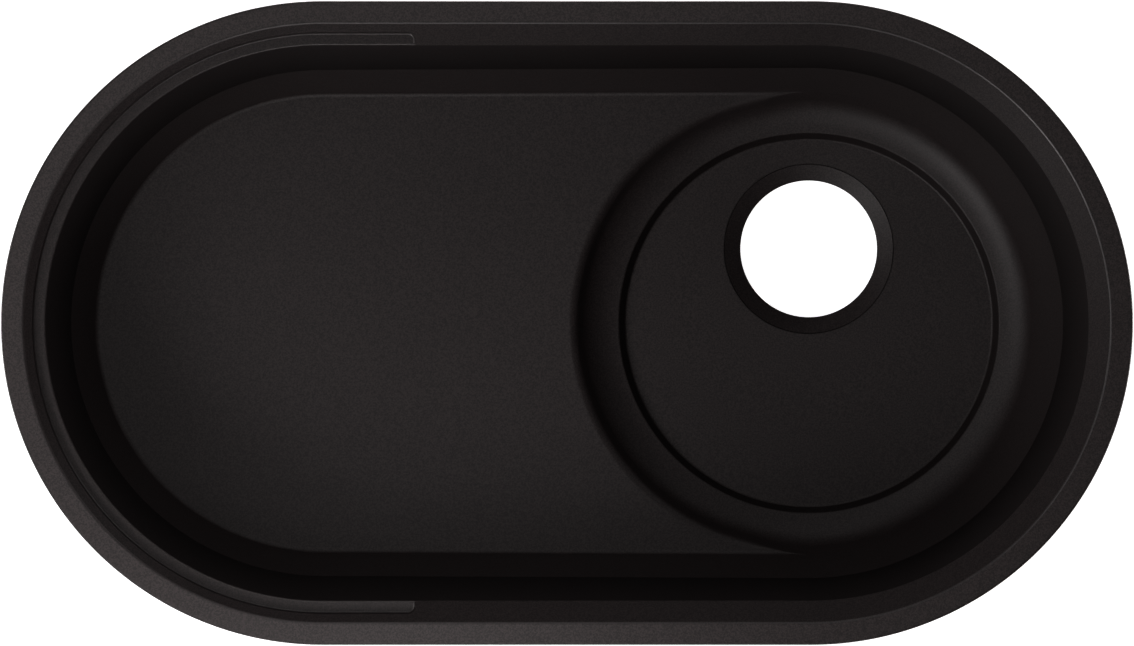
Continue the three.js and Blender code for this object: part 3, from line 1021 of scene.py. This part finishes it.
def buildRoom():
    floor = newPrimitive("floor", bpy.ops.mesh.primitive_plane_add, size=room["floorSize"],
                         location=(0, 0, -room["floorGap"]))
    material, tree, shader = newMaterial("floorPaper", room["floorColour"], room["floorRoughness"])
    shader.inputs["Emission Color"].default_value = (1, 1, 1, 1)
    shader.inputs["Emission Strength"].default_value = room["floorGlow"]
    # The paper is seen from above only, so that the underside can be looked at too.
    side = tree.nodes.new("ShaderNodeNewGeometry")
    clear = tree.nodes.new("ShaderNodeBsdfTransparent")
    choice = tree.nodes.new("ShaderNodeMixShader")
    tree.links.new(side.outputs["Backfacing"], choice.inputs["Fac"])
    tree.links.new(shader.outputs["BSDF"], choice.inputs[1])
    tree.links.new(clear.outputs["BSDF"], choice.inputs[2])
    tree.links.new(choice.outputs["Shader"], tree.nodes["Material Output"].inputs["Surface"])
    floor.data.materials.append(material)
    # It only shows as a white ground. It neither lights nor shades the sink.
    floor.visible_diffuse = False
    floor.visible_glossy = False
    floor.visible_shadow = False
    world = bpy.data.worlds.new("studio")
    world.use_nodes = True
    tree = world.node_tree
    sky = tree.nodes["Background"]
    sky.inputs["Color"].default_value = (*room["worldColour"], 1)
    sky.inputs["Strength"].default_value = room["worldStrength"]
    # The camera sees a pale background, and the sink is lit by a faint one.
    seen = tree.nodes.new("ShaderNodeBackground")
    seen.inputs["Color"].default_value = (*room["worldColour"], 1)
    seen.inputs["Strength"].default_value = room["backgroundStrength"]
    path = tree.nodes.new("ShaderNodeLightPath")
    choice = tree.nodes.new("ShaderNodeMixShader")
    tree.links.new(path.outputs["Is Camera Ray"], choice.inputs["Fac"])
    tree.links.new(sky.outputs["Background"], choice.inputs[1])
    tree.links.new(seen.outputs["Background"], choice.inputs[2])
    tree.links.new(choice.outputs["Shader"], tree.nodes["World Output"].inputs["Surface"])
    bpy.context.scene.world = world
    bpy.context.scene.view_settings.view_transform = "Standard"


# Soft round lamps round and above the sink. Positions are metres, powers watts. The low ones light
# the outside and the fixings, and the ones below light the underside. They throw nothing into the
# sink.
lampColour = (1.0, 0.952, 0.952)
lights = [
    {"name": "frontLeft", "at": (-0.64, -0.64, 0.90), "size": 0.4, "power": 2.76},
    {"name": "left", "at": (-0.90, 0.0, 0.90), "size": 0.4, "power": 0.93},
    {"name": "front", "at": (0.0, -0.90, 0.90), "size": 0.4, "power": 0.70},
    {"name": "back", "at": (0.0, 1.30, 1.20), "size": 0.8, "power": 1.12},
    {"name": "backLeft", "at": (-0.32, 0.32, 1.40), "size": 0.4, "power": 0.73},
    {"name": "backRight", "at": (0.85, 0.85, 0.65), "size": 0.5, "power": 0.61},
    {"name": "overhead", "at": (0.0, 0.0, 3.0), "size": 0.5, "power": 0.24},
    {"name": "overheadLeft", "at": (-0.39, -0.39, 0.95), "size": 0.45, "power": 0.21},
    {"name": "overheadFront", "at": (-0.10, -0.30, 0.55), "size": 0.25, "power": 0.20,
     "aim": (-0.10, -0.30, 0.0)},
    {"name": "lowLeft", "at": (-1.00, 0.0, 0.07), "size": 0.12, "power": 5.0},
    {"name": "lowRight", "at": (1.00, 0.0, 0.07), "size": 0.12, "power": 5.0},
    {"name": "lowFront", "at": (0.0, -0.90, 0.07), "size": 0.12, "power": 5.0},
    {"name": "lowBack", "at": (0.0, 0.90, 0.07), "size": 0.12, "power": 5.0},
    {"name": "belowRight", "at": (1.00, 0.10, -0.90), "size": 0.4, "power": 5.0},
    {"name": "belowBack", "at": (0.0, 0.60, -1.10), "size": 0.4, "power": 3.0},
    {"name": "belowLeft", "at": (-0.30, 0.0, -1.00), "size": 0.3, "power": 2.0},
]


def buildLights():
    middle = (0, 0, sink["height"] / 2)
    for values in lights:
        light = bpy.data.lights.new(values["name"], "AREA")
        light.shape = "DISK"
        light.size = values["size"]
        light.energy = values["power"]
        light.color = lampColour
        lamp = bpy.data.objects.new(values["name"], light)
        lamp.location = values["at"]
        aim = Vector(values.get("aim", middle)) - lamp.location
        lamp.rotation_euler = aim.to_track_quat("-Z", "Y").to_euler()
        lamp.visible_camera = False
        bpy.context.collection.objects.link(lamp)


camera = {
    "lens": 950.0,
    "sensor": 36.0,
    "photoWidth": 1134,
    "mmPerPixel": 0.6676,
    "clipEnd": 100.0,
}


def buildCamera():
    data = bpy.data.cameras.new("photoCamera")
    data.lens = camera["lens"]
    data.sensor_width = camera["sensor"]
    data.clip_end = camera["clipEnd"]
    width = camera["photoWidth"] * camera["mmPerPixel"] * mm
    eye = bpy.data.objects.new("photoCamera", data)
    eye.location = (0, 0, sink["height"] + width * camera["lens"] / camera["sensor"])
    bpy.context.collection.objects.link(eye)
    bpy.context.scene.camera = eye


print("sink")
dressSink()
print("fixings")
buildFixings()
print("room, lights and camera")
buildRoom()
buildLights()
buildCamera()
